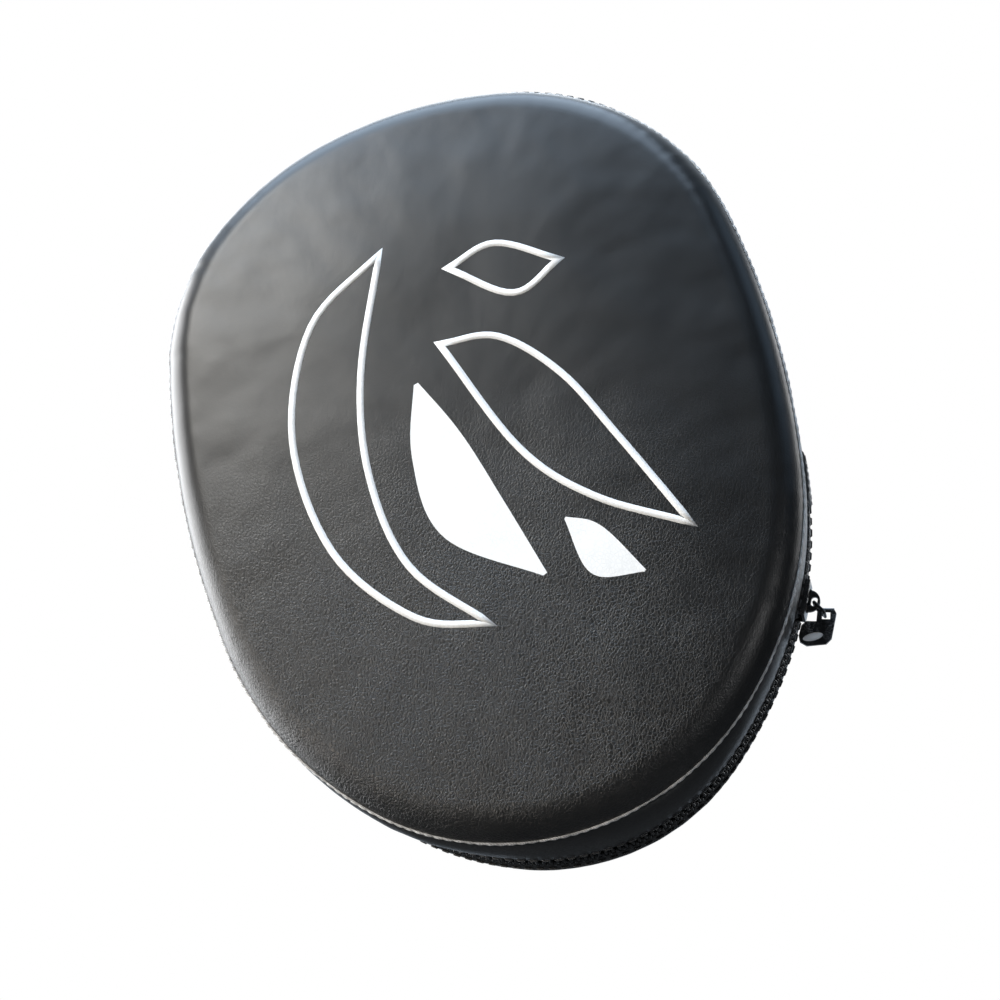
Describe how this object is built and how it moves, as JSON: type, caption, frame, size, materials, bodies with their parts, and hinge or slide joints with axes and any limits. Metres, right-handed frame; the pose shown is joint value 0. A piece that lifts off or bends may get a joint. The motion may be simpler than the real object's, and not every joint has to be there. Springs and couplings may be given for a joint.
{
  "type": "focus mitt",
  "caption": "Egg-shaped padded focus mitt with crowned leather strike face, zipped side wall, finger hood, thumb sleeve and a hook-and-loop wrist strap.",
  "frame": {"origin": "centre of the flat part of the strike face", "axes": "+Z to the fingertip end along the length, +Y from the strike face into the pad towards the hand, +X to the right seen from the striker"},
  "size_m": [0.1922, 0.0845, 0.2565],
  "materials": {
    "black_leather": "fine pebble grain, satin",
    "hood_leather": "fine pebble grain, satin",
    "edge_binding": "smooth",
    "white_print": "screen printed ink",
    "grey_thread": "twisted polyester",
    "black_thread": "twisted polyester",
    "zip_tape": "woven",
    "zip_coil": "nylon coil",
    "zip_metal": "black enamel, semi-gloss",
    "pull_inset": "matt",
    "dense_foam": "closed cell",
    "soft_foam": "open cell",
    "backing_sheet": "matt",
    "strap_leather": "satin",
    "hook_tape": "moulded hooks",
    "loop_tape": "napped loops",
    "eyelet_metal": "black enamel"
  },
  "bodies": {
    "pad": {"front_cover": "black_leather", "front_print": "white_print", "front_gusset": "black_leather", "front_seam_thread": "grey_thread", "zipper_tape_front": "zip_tape", "zipper_tape_rear": "zip_tape", "zipper_coil_front": "zip_coil", "zipper_coil_rear": "zip_coil", "zipper_stop_lower": "zip_metal", "zipper_stop_upper": "zip_metal", "zip_end_tab_lower": "black_leather", "zip_end_tab_upper": "black_leather", "hinge_wall": "black_leather", "rear_gusset": "black_leather", "rear_cover": "black_leather", "rear_seam_thread": "black_thread", "strike_foam": "dense_foam", "core_foam": "soft_foam", "backing_board": "backing_sheet", "palm_foam": "soft_foam", "palm_pad": "hood_leather", "palm_ball": "hood_leather", "finger_hood": "hood_leather", "hood_eyelets": "eyelet_metal", "hood_binding": "edge_binding", "thumb_sleeve": "hood_leather", "thumb_binding": "edge_binding", "wrist_pad": "hood_leather", "strap_anchor": "strap_leather", "keeper_anchor": "strap_leather", "strap_keeper": "strap_leather", "loop_patch": "loop_tape"},
    "slider": {"zipper_slider": "zip_metal"},
    "pull_link": {"zipper_pull_link": "zip_metal"},
    "pull_tab": {"zipper_pull_tab": "zip_metal", "pull_tab_inset": "pull_inset"},
    "strap": {"wrist_strap": "strap_leather"},
    "tail": {"strap_tail": "strap_leather", "hook_patch": "hook_tape", "tail_grip": "edge_binding"}
  },
  "joints": [
    {"name": "zip_travel", "type": "hinge", "parent": "pad", "child": "slider", "pos_m": [-0.03351, 0.02284, -0.01392], "axis": [0, 0.9982, 0.0598], "range_deg": [-11, 20]},
    {"name": "pull_link_swing", "type": "hinge", "parent": "slider", "child": "pull_link", "pos_m": [0.08393, 0.02625, -0.07092], "axis": [0, 0.9982, 0.0598], "range_deg": [-60, 1]},
    {"name": "pull_tab_flap", "type": "hinge", "parent": "pull_link", "child": "pull_tab", "pos_m": [0.08343, 0.02635, -0.0725], "axis": [0.9532, 0.0181, -0.3018], "range_deg": [-35, 35]},
    {"name": "wrist_strap_open", "type": "hinge", "parent": "pad", "child": "strap", "pos_m": [0.04995, 0.04656, -0.07366], "axis": [0, 0.0598, -0.9982], "range_deg": [0, 100]},
    {"name": "strap_tail_peel", "type": "hinge", "parent": "strap", "child": "tail", "pos_m": [-0.01583, 0.08116, -0.07159], "axis": [0, 0.0598, -0.9982], "range_deg": [0, 110]}
  ]
}
